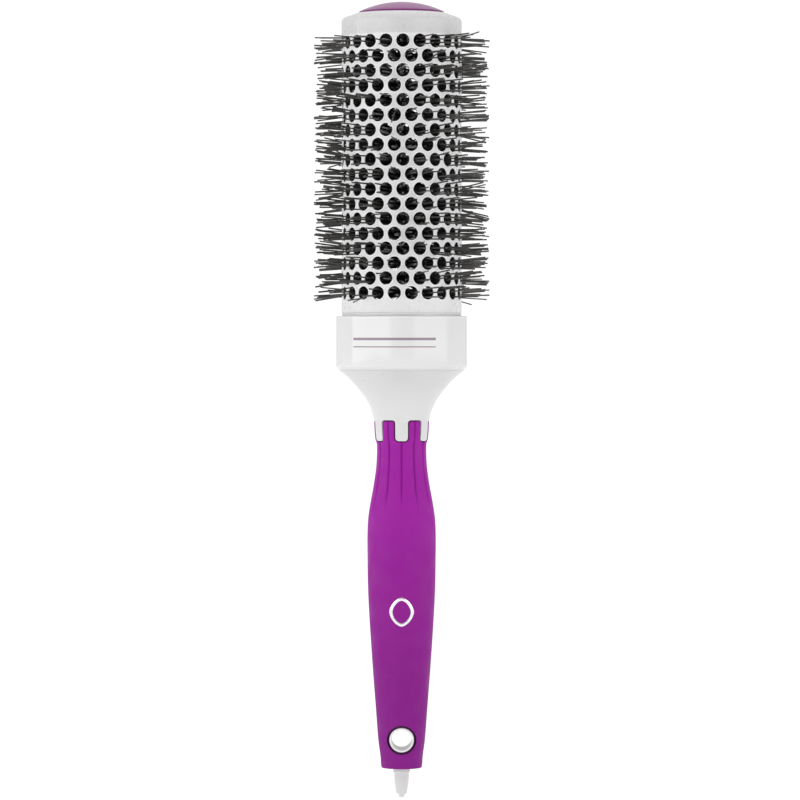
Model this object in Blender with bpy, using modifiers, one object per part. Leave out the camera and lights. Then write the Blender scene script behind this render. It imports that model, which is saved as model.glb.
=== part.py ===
"""A round barrel brush, as the separate pieces it comes apart into.

The brush stands on its tail. +Z runs up its axis, z = 0 is the end of the tail tip, and -Y is its
front. All sizes are in metres and all angles in degrees.
"""

import math

import bmesh
import bpy
from mathutils import Matrix, Vector

GAP = 0.0003
SEGMENTS = 24
TIP_SEGMENTS = 12
AXIS_MERGE = 0.00001

# Perforated barrel: rows of holes, each row turned half a hole pitch against the next.
BARREL_RADIUS = 0.0216
BARREL_WALL = 0.0010
BARREL_BOTTOM = 0.1542
BARREL_TOP = 0.2757
HOLES_AROUND = 22
HOLE_ROWS = 18
HOLE_CORNERS = 6
HOLE_RADIUS = 0.0025
LOWEST_ROW = 0.1816
ROW_PITCH = 0.00527
TOP_ROW_ANGLE = -88.8
HOLE_PITCH = 360 / HOLES_AROUND

# Bristle rows: 22 tufts on one hub, which the stem's two strands hold in the barrel.
TUFT_REACH = 0.0314
TUFT_TIP_SIDE = 0.0033
HUB_RADIUS = 0.0036
HUB_HEIGHT = 0.0008
HUB_BORE = 0.0024

# Stem: two wire strands twisted round each other on the barrel's axis.
STRAND_RADIUS = 0.00085
STRAND_OFFSET = 0.00105
STRAND_BOTTOM = 0.1500
STRAND_TOP = 0.2800
TWIST_PITCH = 0.024
POINTS_PER_TWIST = 8
STEM_BORE = 0.0025

# End cap and the domed insert in its top.
CAP_RIM = 0.2825
CAP_SHOULDER_OUTLINE = (
    (0.0168, 0.2821),
    (0.0190, 0.2813),
    (0.0207, 0.2806),
    (BARREL_RADIUS, 0.2796),
)
CAP_SEAT = 0.2810
CAP_ROOF = 0.2792
CAP_LIP_BOTTOM = 0.2751
CAP_BOSS_BOTTOM = 0.2754
INSERT_RADIUS = 0.0153
INSERT_RIM = 0.2828
DOME_STEPS = 5
LENGTH = 0.2865

# Collar round the barrel's lower end.
COLLAR_RADIUS = 0.0235
COLLAR_BOTTOM = 0.1542
COLLAR_TOP = 0.1732
COLLAR_BORE = 0.0220
COLLAR_TOP_EDGE = 0.0005
COLLAR_BOTTOM_EDGE = 0.0015

# Handle core: flange, flared neck and the rod inside the grip.
FLANGE_RADIUS = 0.0223
FLANGE_TOP = COLLAR_BOTTOM - GAP
SPIGOT_RADIUS = 0.0202
SPIGOT_WALL = 0.0020
SPIGOT_TOP = 0.1700
SPIGOT_FLOOR = 0.1570
BOSS_RADIUS = 0.0045
BOSS_TOP = 0.1680
STEM_SEAT = 0.1495
NECK_RADIUS = 0.0099
NECK_BOTTOM = 0.1362
FLARE_BEND = 1.7
FLARE_STEPS = 7
ROD_OUTLINE = (
    (0.0065, 0.1150),
    (0.0085, 0.1000),
    (0.0085, 0.0600),
    (0.0060, 0.0280),
    (0.0060, 0.0145),
    (0.0050, 0.0128),
)

# Castellated joint between the neck's fingers and the grip's tabs.
FINGERS = 6
FINGER_ANGLE = -90
FINGER_BOTTOM = 0.1284
TAB_TOP = 0.1358
JOINT_SLOT_WIDTH = 0.00528
JOINT_RADIUS = 0.0094
JOINT_REACH = 0.0130
POCKET_FLOOR = 0.0059
NOTCH_FLOOR = 0.0055

# Grip sleeve.
GRIP_OUTLINE = (
    (0.0088, 0.1274),
    (0.0088, 0.1240),
    (0.0091, 0.1190),
    (0.0099, 0.1125),
    (0.0110, 0.1065),
    (0.0119, 0.1010),
    (0.0122, 0.0955),
    (0.0122, 0.0880),
    (0.0119, 0.0725),
    (0.0105, 0.0496),
    (0.0091, 0.0310),
    (0.0083, 0.0206),
    (0.0075, 0.0145),
    (0.0071, 0.0114),
    (0.0065, 0.0107),
)
GRIP_BOTTOM = 0.0107
GRIP_FLOOR = 0.0125
FLUTES = 12
FLUTE_DEPTH = 0.00035
FLUTE_BOTTOM = 0.1020
FLUTE_TOP = 0.1285

# Hanging hole across the grip's lower end, and its liner.
HANG_HOLE_Z = 0.0212
HANG_HOLE_RADIUS = 0.0048
LINER_RADIUS = 0.0045
LINER_BORE = 0.0037
LINER_LENGTH = 0.0132
HOLE_CUTTER_LENGTH = 0.0300

# Tail tip, held by its shank in the rod's end.
SHANK_RADIUS = 0.0022
SHANK_BORE = 0.0025
SHANK_TOP = 0.0145
SHANK_SEAT = 0.0148
TIP_OUTLINE = (
    (0.0030, 0.0104),
    (0.0030, 0.0094),
    (0.0027, 0.0088),
    (0.0025, 0.0053),
    (0.0019, 0.0017),
    (0.0011, 0.0008),
    (0.0008, 0.0000),
)


def clear_scene():
    for obj in list(bpy.data.objects):
        bpy.data.objects.remove(obj, do_unlink=True)


def new_collection(name):
    collection = bpy.data.collections.new(name)
    bpy.context.scene.collection.children.link(collection)
    return collection


def new_material(name, colour, roughness, metallic=0.0):
    material = bpy.data.materials.new(name)
    material.use_nodes = True
    shader = material.node_tree.nodes["Principled BSDF"]
    shader.inputs["Base Color"].default_value = (*colour, 1.0)
    shader.inputs["Roughness"].default_value = roughness
    shader.inputs["Metallic"].default_value = metallic
    return material


def mesh_from(bm, name):
    mesh = bpy.data.meshes.new(name)
    bm.to_mesh(mesh)
    bm.free()
    return mesh


def add_piece(name, data, material):
    """Adds one named piece, with its material, to the brush's collection."""
    piece = bpy.data.objects.new(name, data)
    data.materials.append(material)
    brush.objects.link(piece)
    return piece


def shade_round(mesh, sharp_angle=40):
    mesh.shade_smooth()
    mesh.set_sharp_from_angle(angle=math.radians(sharp_angle))


def turned(name, outline, material, closed=False, segments=SEGMENTS):
    """A piece turned on the Z axis from (radius, height) points, which run down its outer side."""
    bm = bmesh.new()
    points = [bm.verts.new((radius, 0, height)) for radius, height in outline]
    following = points[1:] + points[:1] if closed else points[1:]
    for start, end in zip(points, following):
        bm.edges.new((start, end))
    piece = add_piece(name, mesh_from(bm, name), material)
    screw = piece.modifiers.new("Turn", "SCREW")
    screw.steps = segments
    screw.render_steps = segments
    screw.use_merge_vertices = True
    screw.merge_threshold = AXIS_MERGE
    return piece


def made_mesh(piece):
    """Replaces a piece's modifiers by the mesh that they make."""
    graph = bpy.context.evaluated_depsgraph_get()
    mesh = bpy.data.meshes.new_from_object(piece.evaluated_get(graph))
    piece.modifiers.clear()
    piece.data = mesh
    return mesh


def add_cutter(name, mesh):
    cutter = bpy.data.objects.new(name, mesh)
    cutters.objects.link(cutter)
    cutter.hide_render = True
    cutter.display_type = "WIRE"
    return cutter


def cut(piece, cutter):
    boolean = piece.modifiers.new(f"Cut {cutter.name}", "BOOLEAN")
    boolean.operation = "DIFFERENCE"
    boolean.object = cutter


def row_height(row):
    return LOWEST_ROW + row * ROW_PITCH


def row_angle(row):
    """Direction of one hole in this row, counted from +X. The top row is the last one."""
    staggered = (HOLE_ROWS - 1 - row) % 2
    return TOP_ROW_ANGLE + staggered * HOLE_PITCH / 2


def barrel_rings():
    """(height, angle) of each ring of corners that the barrel's surface hangs on."""
    rings = [(BARREL_BOTTOM, row_angle(-1)), (row_height(-1), row_angle(-1))]
    rings += [(row_height(row), row_angle(row)) for row in range(HOLE_ROWS)]
    rings.append((BARREL_TOP, row_angle(HOLE_ROWS)))
    return rings


def make_barrel():
    """The perforated tube: a net of triangles round the axis, with each hole cut off a corner of it."""
    rings = barrel_rings()
    height, angle = rings[0]
    # A new circle's first corner is on +Y, 90 degrees from +X.
    place = Matrix.Translation((0, 0, height)) @ Matrix.Rotation(math.radians(angle - 90), 4, "Z")
    bm = bmesh.new()
    bmesh.ops.create_circle(bm, radius=BARREL_RADIUS, segments=HOLES_AROUND, matrix=place)
    edges = bm.edges[:]
    for next_height, next_angle in rings[1:]:
        made = bmesh.ops.extrude_edge_only(bm, edges=edges)["geom"]
        corners = [item for item in made if isinstance(item, bmesh.types.BMVert)]
        edges = [item for item in made if isinstance(item, bmesh.types.BMEdge)]
        turn = Matrix.Rotation(math.radians(next_angle - angle), 3, "Z")
        bmesh.ops.rotate(bm, verts=corners, cent=(0, 0, 0), matrix=turn)
        bmesh.ops.translate(bm, verts=corners, vec=(0, 0, next_height - height))
        height, angle = next_height, next_angle
    bmesh.ops.triangulate(bm, faces=bm.faces[:], quad_method="SHORT_EDGE")
    lowest = row_height(-0.5)
    highest = row_height(HOLE_ROWS - 0.5)
    centres = [corner for corner in bm.verts if lowest < corner.co.z < highest]
    bmesh.ops.bevel(bm, geom=centres, offset=HOLE_RADIUS, segments=1, affect="VERTICES")
    holes = [face for face in bm.faces if is_hole(face)]
    bmesh.ops.delete(bm, geom=holes, context="FACES_ONLY")
    bmesh.ops.recalc_face_normals(bm, faces=bm.faces[:])
    piece = add_piece("barrel", mesh_from(bm, "barrel"), ceramic_white)
    wall = piece.modifiers.new("Wall", "SOLIDIFY")
    wall.thickness = BARREL_WALL
    wall.offset = -1


def is_hole(face):
    """Whether this face of the net covers a hole: it has six corners and is centred on a row."""
    rows_up = (face.calc_center_median().z - LOWEST_ROW) / ROW_PITCH
    off_row = abs(rows_up - round(rows_up))
    return len(face.verts) == HOLE_CORNERS and off_row < 1 / 6


def make_bristle_rows():
    """One star of tufts for each row of holes. A tuft widens from the hub to its tip."""
    bm = bmesh.new()
    half_turn = Matrix.Rotation(math.radians(90 + HOLE_PITCH / 2), 4, "Z")
    loops = []
    for radius, height in ((HUB_BORE, 0), (HUB_RADIUS, HUB_HEIGHT / 2), (HUB_RADIUS, -HUB_HEIGHT / 2)):
        place = Matrix.Translation((0, 0, height)) @ half_turn
        corners = bmesh.ops.create_circle(bm, radius=radius, segments=HOLES_AROUND, matrix=place)["verts"]
        loops.append(list({edge for corner in corners for edge in corner.link_edges}))
    bmesh.ops.bridge_loops(bm, edges=loops[0] + loops[1])
    rim = bmesh.ops.bridge_loops(bm, edges=loops[1] + loops[2])["faces"]
    bmesh.ops.bridge_loops(bm, edges=loops[2] + loops[0])
    for tip in bmesh.ops.extrude_discrete_faces(bm, faces=rim)["faces"]:
        shape_tuft_tip(tip)
    bmesh.ops.recalc_face_normals(bm, faces=bm.faces[:])
    star = mesh_from(bm, "bristle_row")
    for row in range(HOLE_ROWS):
        piece = bpy.data.objects.new(f"bristle_row_{row + 1:02d}", star)
        piece.location.z = row_height(row)
        piece.rotation_euler.z = math.radians(row_angle(row))
        brush.objects.link(piece)
    star.materials.append(nylon_black)


def shape_tuft_tip(tip):
    """Moves one tuft's end face out to its reach and gives it its size across."""
    outward = tip.calc_center_median().normalized()
    across = Vector((0, 0, 1)).cross(outward)
    for corner in tip.verts:
        side = math.copysign(TUFT_TIP_SIDE / 2, corner.co.dot(across))
        up = math.copysign(TUFT_TIP_SIDE / 2, corner.co.z)
        corner.co = outward * TUFT_REACH + across * side + Vector((0, 0, up))


def make_stem():
    """The stem's two strands, each a long turn of wire round the axis."""
    length = STRAND_TOP - STRAND_BOTTOM
    steps = round(length / TWIST_PITCH * POINTS_PER_TWIST)
    for name, start in (("stem_wire_a", 0), ("stem_wire_b", math.pi)):
        curve = bpy.data.curves.new(name, "CURVE")
        curve.dimensions = "3D"
        curve.bevel_depth = STRAND_RADIUS
        curve.bevel_resolution = 1
        curve.use_fill_caps = True
        strand = curve.splines.new("POLY")
        strand.points.add(steps)
        for index, point in enumerate(strand.points):
            turn = start + index * math.tau / POINTS_PER_TWIST
            x = STRAND_OFFSET * math.cos(turn)
            y = STRAND_OFFSET * math.sin(turn)
            point.co = (x, y, STRAND_BOTTOM + index * length / steps, 1)
        add_piece(name, curve, steel)


def make_end_cap():
    """The white cap: a shoulder over the barrel's end, a lip inside it and a boss for the stem."""
    outline = (
        (STEM_BORE, CAP_SEAT),
        (INSERT_RADIUS + GAP, CAP_SEAT),
        (INSERT_RADIUS + GAP, CAP_RIM),
        *CAP_SHOULDER_OUTLINE,
        (BARREL_RADIUS, BARREL_TOP + GAP),
        (SPIGOT_RADIUS, BARREL_TOP + GAP),
        (SPIGOT_RADIUS, CAP_LIP_BOTTOM),
        (SPIGOT_RADIUS - SPIGOT_WALL, CAP_LIP_BOTTOM),
        (SPIGOT_RADIUS - SPIGOT_WALL, CAP_ROOF),
        (BOSS_RADIUS, CAP_ROOF),
        (BOSS_RADIUS, CAP_BOSS_BOTTOM),
        (STEM_BORE, CAP_BOSS_BOTTOM),
    )
    piece = turned("end_cap", outline, gloss_white, closed=True)
    shade_round(piece.data)


def make_cap_insert():
    """The coloured dome in the cap: part of a sphere through its top and its rim."""
    rise = LENGTH - INSERT_RIM
    sphere = (INSERT_RADIUS**2 + rise**2) / (2 * rise)
    half_angle = math.asin(INSERT_RADIUS / sphere)
    outline = []
    for step in range(DOME_STEPS + 1):
        angle = half_angle * step / DOME_STEPS
        outline.append((sphere * math.sin(angle), LENGTH - sphere * (1 - math.cos(angle))))
    outline.append((INSERT_RADIUS, CAP_SEAT + GAP))
    outline.append((0, CAP_SEAT + GAP))
    piece = turned("cap_insert", outline, dome_purple)
    shade_round(piece.data)


def make_collar():
    outline = (
        (COLLAR_BORE, COLLAR_TOP),
        (COLLAR_RADIUS - COLLAR_TOP_EDGE, COLLAR_TOP),
        (COLLAR_RADIUS, COLLAR_TOP - COLLAR_TOP_EDGE),
        (COLLAR_RADIUS, COLLAR_BOTTOM + COLLAR_BOTTOM_EDGE),
        (FLANGE_RADIUS, COLLAR_BOTTOM),
        (COLLAR_BORE, COLLAR_BOTTOM),
    )
    piece = turned("collar", outline, gloss_white, closed=True)
    shade_round(piece.data)


def flare_outline():
    """The neck's concave flare, from the flange's edge in to the neck."""
    points = []
    for step in range(1, FLARE_STEPS + 1):
        share = step / FLARE_STEPS
        radius = NECK_RADIUS + (FLANGE_RADIUS - NECK_RADIUS) * (1 - share) ** FLARE_BEND
        points.append((radius, FLANGE_TOP + (NECK_BOTTOM - FLANGE_TOP) * share))
    return points


def make_handle_core():
    """The white moulding: spigot in the barrel, flange, flared neck, fingers, and the grip's rod."""
    outline = [
        (0, STEM_SEAT),
        (STEM_BORE, STEM_SEAT),
        (STEM_BORE, BOSS_TOP),
        (BOSS_RADIUS, BOSS_TOP),
        (BOSS_RADIUS, SPIGOT_FLOOR),
        (SPIGOT_RADIUS - SPIGOT_WALL, SPIGOT_FLOOR),
        (SPIGOT_RADIUS - SPIGOT_WALL, SPIGOT_TOP),
        (SPIGOT_RADIUS, SPIGOT_TOP),
        (SPIGOT_RADIUS, FLANGE_TOP),
        (FLANGE_RADIUS, FLANGE_TOP),
    ]
    outline += flare_outline()
    outline += [(JOINT_RADIUS, FINGER_BOTTOM), (ROD_OUTLINE[0][0], FINGER_BOTTOM)]
    outline += ROD_OUTLINE
    outline += [(SHANK_BORE, ROD_OUTLINE[-1][1]), (SHANK_BORE, SHANK_SEAT), (0, SHANK_SEAT)]
    piece = turned("handle_core", outline, satin_white)
    shade_round(piece.data)
    half_step = 180 / FINGERS
    cut(piece, joint_cutter("tab_pockets", FINGER_ANGLE + half_step, POCKET_FLOOR, TAB_TOP + GAP))
    cut(piece, hang_hole_cutter())


def make_grip_sleeve():
    """The soft sleeve over the rod, open at both ends, with tabs between the neck's fingers."""
    wider = [(radius + GAP, height) for radius, height in reversed(ROD_OUTLINE)]
    outline = [(NECK_RADIUS, TAB_TOP), (JOINT_RADIUS, FINGER_BOTTOM - GAP)]
    outline += GRIP_OUTLINE
    outline += [(SHANK_BORE, GRIP_BOTTOM), (SHANK_BORE, GRIP_FLOOR), (wider[0][0], GRIP_FLOOR)]
    outline += wider[1:]
    outline.append((wider[-1][0], TAB_TOP))
    piece = turned("grip_sleeve", outline, grip_purple, closed=True)
    press_flutes(made_mesh(piece))
    shade_round(piece.data)
    cut(piece, joint_cutter("finger_notches", FINGER_ANGLE, NOTCH_FLOOR, TAB_TOP + GAP))
    cut(piece, hang_hole_cutter())


def press_flutes(mesh):
    """Presses the flutes into the upper grip: every second corner of its outer rings moves in."""
    inner_radius = ROD_OUTLINE[0][0] + 2 * GAP
    for vertex in mesh.vertices:
        x, y, z = vertex.co
        radius = math.hypot(x, y)
        flute = math.degrees(math.atan2(y, x)) * FLUTES / 360
        on_flute = abs(flute - round(flute)) < 0.01
        if on_flute and radius > inner_radius + GAP and FLUTE_BOTTOM < z < FLUTE_TOP:
            shrink = 1 - FLUTE_DEPTH / radius
            vertex.co.x = x * shrink
            vertex.co.y = y * shrink


def joint_cutter(name, first_angle, floor, top):
    """Six blocks round the axis, each reaching out from its floor over the height of the joint."""
    bottom = FINGER_BOTTOM - GAP
    size = (JOINT_REACH - floor, JOINT_SLOT_WIDTH, top - bottom)
    centre = ((JOINT_REACH + floor) / 2, 0, (top + bottom) / 2)
    bm = bmesh.new()
    for index in range(FINGERS):
        turn = Matrix.Rotation(math.radians(first_angle + index * 360 / FINGERS), 4, "Z")
        place = turn @ Matrix.Translation(centre) @ Matrix.Diagonal((*size, 1))
        bmesh.ops.create_cube(bm, size=1, matrix=place)
    return add_cutter(name, mesh_from(bm, name))


def across_grip(length, radius):
    """A closed cylinder along Y, centred on the hanging hole."""
    bm = bmesh.new()
    place = Matrix.Translation((0, 0, HANG_HOLE_Z)) @ Matrix.Rotation(math.radians(90), 4, "X")
    bmesh.ops.create_cone(
        bm, cap_ends=True, segments=SEGMENTS, radius1=radius, radius2=radius, depth=length, matrix=place
    )
    return bm


def hang_hole_cutter():
    bm = across_grip(HOLE_CUTTER_LENGTH, HANG_HOLE_RADIUS)
    return add_cutter("hang_hole", mesh_from(bm, "hang_hole"))


def make_hang_hole_liner():
    """The short white tube through the grip's lower end, for a hook or a loop."""
    bm = across_grip(LINER_LENGTH, LINER_RADIUS)
    piece = add_piece("hang_hole_liner", mesh_from(bm, "hang_hole_liner"), satin_white)
    shade_round(piece.data)
    bore = across_grip(HOLE_CUTTER_LENGTH, LINER_BORE)
    cut(piece, add_cutter("liner_bore", mesh_from(bore, "liner_bore")))


def make_tail_tip():
    outline = [(0, SHANK_TOP), (SHANK_RADIUS, SHANK_TOP), (SHANK_RADIUS, TIP_OUTLINE[0][1])]
    outline += TIP_OUTLINE
    outline.append((0, 0))
    piece = turned("tail_tip", outline, tip_grey, segments=TIP_SEGMENTS)
    shade_round(piece.data)


clear_scene()
brush = new_collection("round_barrel_brush")
cutters = new_collection("cutters")
ceramic_white = new_material("ceramic_white", (0.78, 0.78, 0.78), 0.35)
gloss_white = new_material("gloss_white", (0.80, 0.80, 0.80), 0.15)
satin_white = new_material("satin_white", (0.72, 0.72, 0.72), 0.40)
tip_grey = new_material("tip_grey", (0.66, 0.66, 0.66), 0.40)
nylon_black = new_material("nylon_black", (0.02, 0.02, 0.02), 0.45)
grip_purple = new_material("grip_purple", (0.31, 0.03, 0.31), 0.60)
dome_purple = new_material("dome_purple", (0.38, 0.14, 0.32), 0.25)
steel = new_material("steel", (0.55, 0.55, 0.55), 0.30, metallic=1.0)

make_barrel()
make_bristle_rows()
make_stem()
make_end_cap()
make_cap_insert()
make_collar()
make_handle_core()
make_grip_sleeve()
make_hang_hole_liner()
make_tail_tip()
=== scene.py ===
"""A round barrel brush in full detail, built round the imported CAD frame.

All sizes are in metres, in the frame's own axes: +Z runs up the brush, z = 0 is the end of its tail
tip and -Y is its front. Angles run round the axis from +X, in radians unless a name says otherwise.
The driving sizes repeat those of the CAD model.
"""

import math
import random

import bmesh
import bpy
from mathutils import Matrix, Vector, noise


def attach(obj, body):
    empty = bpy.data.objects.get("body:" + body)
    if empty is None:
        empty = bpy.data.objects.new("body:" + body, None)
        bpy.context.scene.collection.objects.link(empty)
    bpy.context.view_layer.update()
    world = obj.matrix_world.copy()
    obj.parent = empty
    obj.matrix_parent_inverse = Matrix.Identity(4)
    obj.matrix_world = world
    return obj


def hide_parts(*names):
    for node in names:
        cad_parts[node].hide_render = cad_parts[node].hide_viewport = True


FRONT = math.radians(-90)
SEED = 22

# Barrel, with its rows of holes. A lip's steps are (how much wider than the hole, how deep).
BARREL_RADIUS = 0.0216
BARREL_WALL = 0.0010
BARREL_INSIDE = BARREL_RADIUS - BARREL_WALL
BARREL_BOTTOM = 0.1545
BARREL_TOP = 0.27398
HOLES_AROUND = 22
HOLE_ROWS = 18
LOWEST_ROW = 0.1816
ROW_PITCH = 0.00527
TOP_ROW_ANGLE = math.radians(-88.8)
HOLE_PITCH = math.tau / HOLES_AROUND
HOLE_RADIUS = 0.00238
# The lips are painted lighter than the coating, as a painted highlight.
HOLE_LIP = ((0.00042, 0.0), (0.00016, 0.0), (0.00005, 0.00004), (0.0, 0.00014))
HOLE_LIP_DEPTH = 0.00040
HOLE_RAYS = 24
UPPER_EDGE_START = HOLE_RAYS // 12
LOWER_EDGE_START = UPPER_EDGE_START + HOLE_RAYS // 2
COATING_EDGE = 0.17460
COATING_STEP = 0.00008
COATING_DEPTH = 0.00020
PLAIN_END_TOP = COATING_EDGE + 0.0030
BARE_IN_COLLAR = 0.0010
BARREL_WELD = 0.00001

# Bristles: tufts of loose filaments, one for each hole. A few filaments are short, a few stand out
# wildly, and the strays missed their hole. Splay and looseness are (everywhere, more at the sides).
FILAMENTS = (3, 4)
STRAY_FILAMENTS = 8
FILAMENT_RADIUS = 0.00028
FILAMENT_THICKNESS = (0.88, 1.08)
FILAMENT_SIDES = 5
FILAMENT_STATIONS = (0.0, 0.3, 0.62, 1.0)
STEM_REACH = 0.0019
STEM_ACROSS = 0.0010
STEM_UP = 0.0012
TUFT_REACH = 0.0314
TUFT_HOLD = 0.0211
TUFT_RADIUS = 0.00195
LONGEST_TIP = TUFT_REACH + 0.0003
TIP_SPREAD = 0.0010
SHORT_SHARE = 0.15
SHORT_BY = (0.0010, 0.0040)
SPLAY = (1.04, 0.20)
LOOSENESS = (0.00020, 0.00020)
WILD_SHARE = 0.05
WILD_LOOSENESS = 0.0022
LEAN = 0.0028
SWAY = 0.0050
LEAN_SCALE = 62
SWAY_SHIFT = Vector((7, 0, 0))
STRAY_TURN = 0.35
STRAY_SPREAD = 0.0026
STRAY_REACH = (0.0165, 0.0204)

# Stem: two strands twisted tight.
STRAND_RADIUS = 0.00085
STRAND_BOTTOM = 0.1500
STRAND_TOP = 0.2800
TWIST_PITCH = 0.0085
STRAND_SIDES = 12
STRAND_STEPS_PER_TWIST = 20

# End cap and the dome in it. An outline's points are (radius, height, how far its corner is rounded).
WIDE_SIDES = 192
CAP_BOTTOM = 0.27400
RIM_TOP = 0.28210
DOME_RADIUS = 0.0153
DOME_BOTTOM = 0.2812
DOME_RIM = 0.28275
DOME_RIM_EDGE = 0.0002
DOME_TOP = 0.28625
DOME_SPAN = 0.992
DOME_STEPS = 24
DOME_SIDES = 144
DOME_SEAT = DOME_RADIUS + 0.00008
CAP_OUTLINE = (
    (0.0200, CAP_BOTTOM, 0),
    (BARREL_RADIUS, CAP_BOTTOM, 0.00002),
    (BARREL_RADIUS, 0.2802, 0.0014),
    (0.0171, 0.28175, 0.0005),
    (0.0164, RIM_TOP, 0.0004),
    (DOME_SEAT, RIM_TOP, 0.0003),
    (DOME_SEAT, 0.2810, 0),
    (0.0200, 0.2790, 0),
)

# Collar and the two pinstripes printed on it, as (name, height, width).
COLLAR_RADIUS = 0.0235
COLLAR_BOTTOM = 0.15393
COLLAR_TOP = 0.1734
COLLAR_BORE = 0.02166
COLLAR_OUTLINE = (
    (COLLAR_BORE, COLLAR_BOTTOM, 0),
    (0.0226, COLLAR_BOTTOM, 0.0002),
    (COLLAR_RADIUS, COLLAR_BOTTOM + 0.0011, 0.0006),
    (COLLAR_RADIUS, COLLAR_TOP, 0.00045),
    (COLLAR_BORE, COLLAR_TOP, 0.0001),
)
STRIPES = (("collar_stripe_upper", 0.1652, 0.0009), ("collar_stripe_lower", 0.1624, 0.0004))
STRIPE_ANGLES = (math.radians(-137), math.radians(-59))
STRIPE_HEIGHT = 0.00002
STRIPE_STEPS = 60

# Handle core: flared neck and six fingers.
FLANGE_RADIUS = 0.0225
FLANGE_TOP = 0.1539
FLANGE_EDGE_IN = 0.0002
FLANGE_EDGE_DOWN = 0.0001
CORE_INSIDE = 0.0060
CORE_FILLET = 0.00010
CORE_FAN_STEPS = 12
NECK_STEPS = 26
NECK_EASED_STEPS = 8
CORE_OUTLINE = (
    (0.00935, 0.1280),
    (0.00975, 0.1320),
    (0.01000, 0.1362),
    (0.01060, 0.1387),
    (0.01175, 0.1416),
    (0.01340, 0.1444),
    (0.01560, 0.1473),
    (0.01810, 0.1502),
    (0.02120, 0.1529),
    (0.02230, 0.1538),
)

# Castellated joint between the neck's fingers and the grip's tabs. The steps of half a period are
# those of its flat top, tab corner, side, finger corner and flat bottom. A rounded edge's middle is
# at this share of its radius, which is 1 - cos(45 degrees).
FINGERS = 6
HALF_STEP = math.pi / FINGERS
JOINT_RADIUS = 0.0095
TAB_MIDDLE = JOINT_RADIUS * math.sin(HALF_STEP)
FINGER_BOTTOM = 0.1284
TAB_TOP = 0.1359
FINGER_HALF_WIDTH = 0.00243
TAB_CORNER = 0.0009
FINGER_CORNER = 0.0014
SEAM_GAP = 0.00014
SEAM_DEPTH = 0.0016
SEAM_STEPS = (14, 6, 6, 5, 9)
FILLET_MIDDLE = 0.293
NECK_FAN_START = TAB_TOP + 0.0016
NECK_FAN_STOPS = (1, 0.56, 0.46, 0.34, 0.25, 0)
AROUND = 2 * FINGERS * sum(SEAM_STEPS)

# Grip sleeve. The last rings before its inside, down in the joint, are painted dark as painted shade.
GRIP_BOTTOM = 0.0107
GRIP_RIM_TOP = 0.0116
GRIP_OUTLINE = (
    (0.0070, GRIP_BOTTOM),
    (0.0074, GRIP_RIM_TOP),
    (0.0076, 0.0145),
    (0.0084, 0.0206),
    (0.0092, 0.0310),
    (0.0106, 0.0496),
    (0.0120, 0.0725),
    (0.0123, 0.0880),
    (0.0123, 0.0955),
    (0.0120, 0.1010),
    (0.0112, 0.1065),
    (0.0101, 0.1125),
    (0.0092, 0.1190),
    (0.0089, 0.1240),
    (0.0089, 0.1274),
)
GRIP_INSIDE = 0.0060
GRIP_MOUTH = ((0.0034, GRIP_BOTTOM + 0.0004), (0.0036, GRIP_BOTTOM), (GRIP_INSIDE, GRIP_BOTTOM))
GRIP_RIM = ((GRIP_INSIDE, GRIP_BOTTOM, 0), (0.00728, GRIP_BOTTOM, 0.0003), (0.0074, GRIP_RIM_TOP, 0))
GRIP_TAIL_HEIGHTS = (GRIP_RIM_TOP, 0.0122, 0.0130, 0.0136)
GRIP_STEPS = 72
GRIP_FAN_START = 0.1252
GRIP_FAN_STEPS = 16
GRIP_FILLET = 0.00042
GRIP_FLOOR = FINGER_BOTTOM - 0.0010
PAINTED_SHADE_SEAM_RINGS = 3
SHOULDER_HEIGHTS = (0.1270, 0.1292)
FLUTES = 12
FLUTE_DEPTH = 0.00060
FLUTE_WIDTH = 0.00034
FLUTE_FADE = (0.1010, 0.1120)

# Hanging hole and its liner. On each side its mouth fills a window in the grip's mesh. The lip's
# steps are (how much wider than the hole, how deep), and from the start step given below it is painted dark
# as painted shade.
HANG_HOLE_Z = 0.0212
HANG_HOLE_RADIUS = 0.0045
HANG_HOLE_LIP = (
    (0.00088, 0.0),
    (0.00080, 0.00004),
    (0.00074, 0.00012),
    (0.00072, 0.00030),
    (0.00070, 0.00110),
    (0.00060, 0.00120),
    (0.0, 0.00120),
)
PAINTED_SHADE_LIP_START = 1
MOUTH_SHARES = (0.30, 0.58, 0.82)
WINDOW_COLUMNS = 66
WINDOW_ROWS = 14
WINDOW_STEP = 0.0005
FRONT_COLUMN = AROUND // FINGERS // 2
WINDOWS = ((1, FRONT_COLUMN), (-1, FRONT_COLUMN + AROUND // 2))
LINER_RADIUS = 0.00442
LINER_BORE = 0.00368
LINER_CLEARANCE = 0.0001
LINER_SIDES = 96
LINER_LIP = (
    (LINER_RADIUS, -0.0030),
    (LINER_RADIUS, -0.0005),
    (LINER_RADIUS - 0.00006, -0.00034),
    (LINER_RADIUS - 0.00020, -0.00026),
    (LINER_BORE + 0.00020, -0.00026),
    (LINER_BORE + 0.00006, -0.00034),
    (LINER_BORE, -0.0006),
    (LINER_BORE, -0.0030),
)

# Tail tip.
TAIL_SIDES = 72
TAIL_OUTLINE = (
    (0, 0.0, 0),
    (0.0009, 0.0, 0.00025),
    (0.0010, 0.0008, 0.0002),
    (0.0019, 0.0013, 0.0005),
    (0.0025, 0.0053, 0.0012),
    (0.0027, 0.0088, 0.0002),
    (0.0030, 0.0091, 0.0001),
    (0.0030, 0.0106, 0.0001),
    (0.0024, 0.0107, 0),
    (0.0022, 0.0140, 0),
    (0, 0.0140, 0),
)

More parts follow.
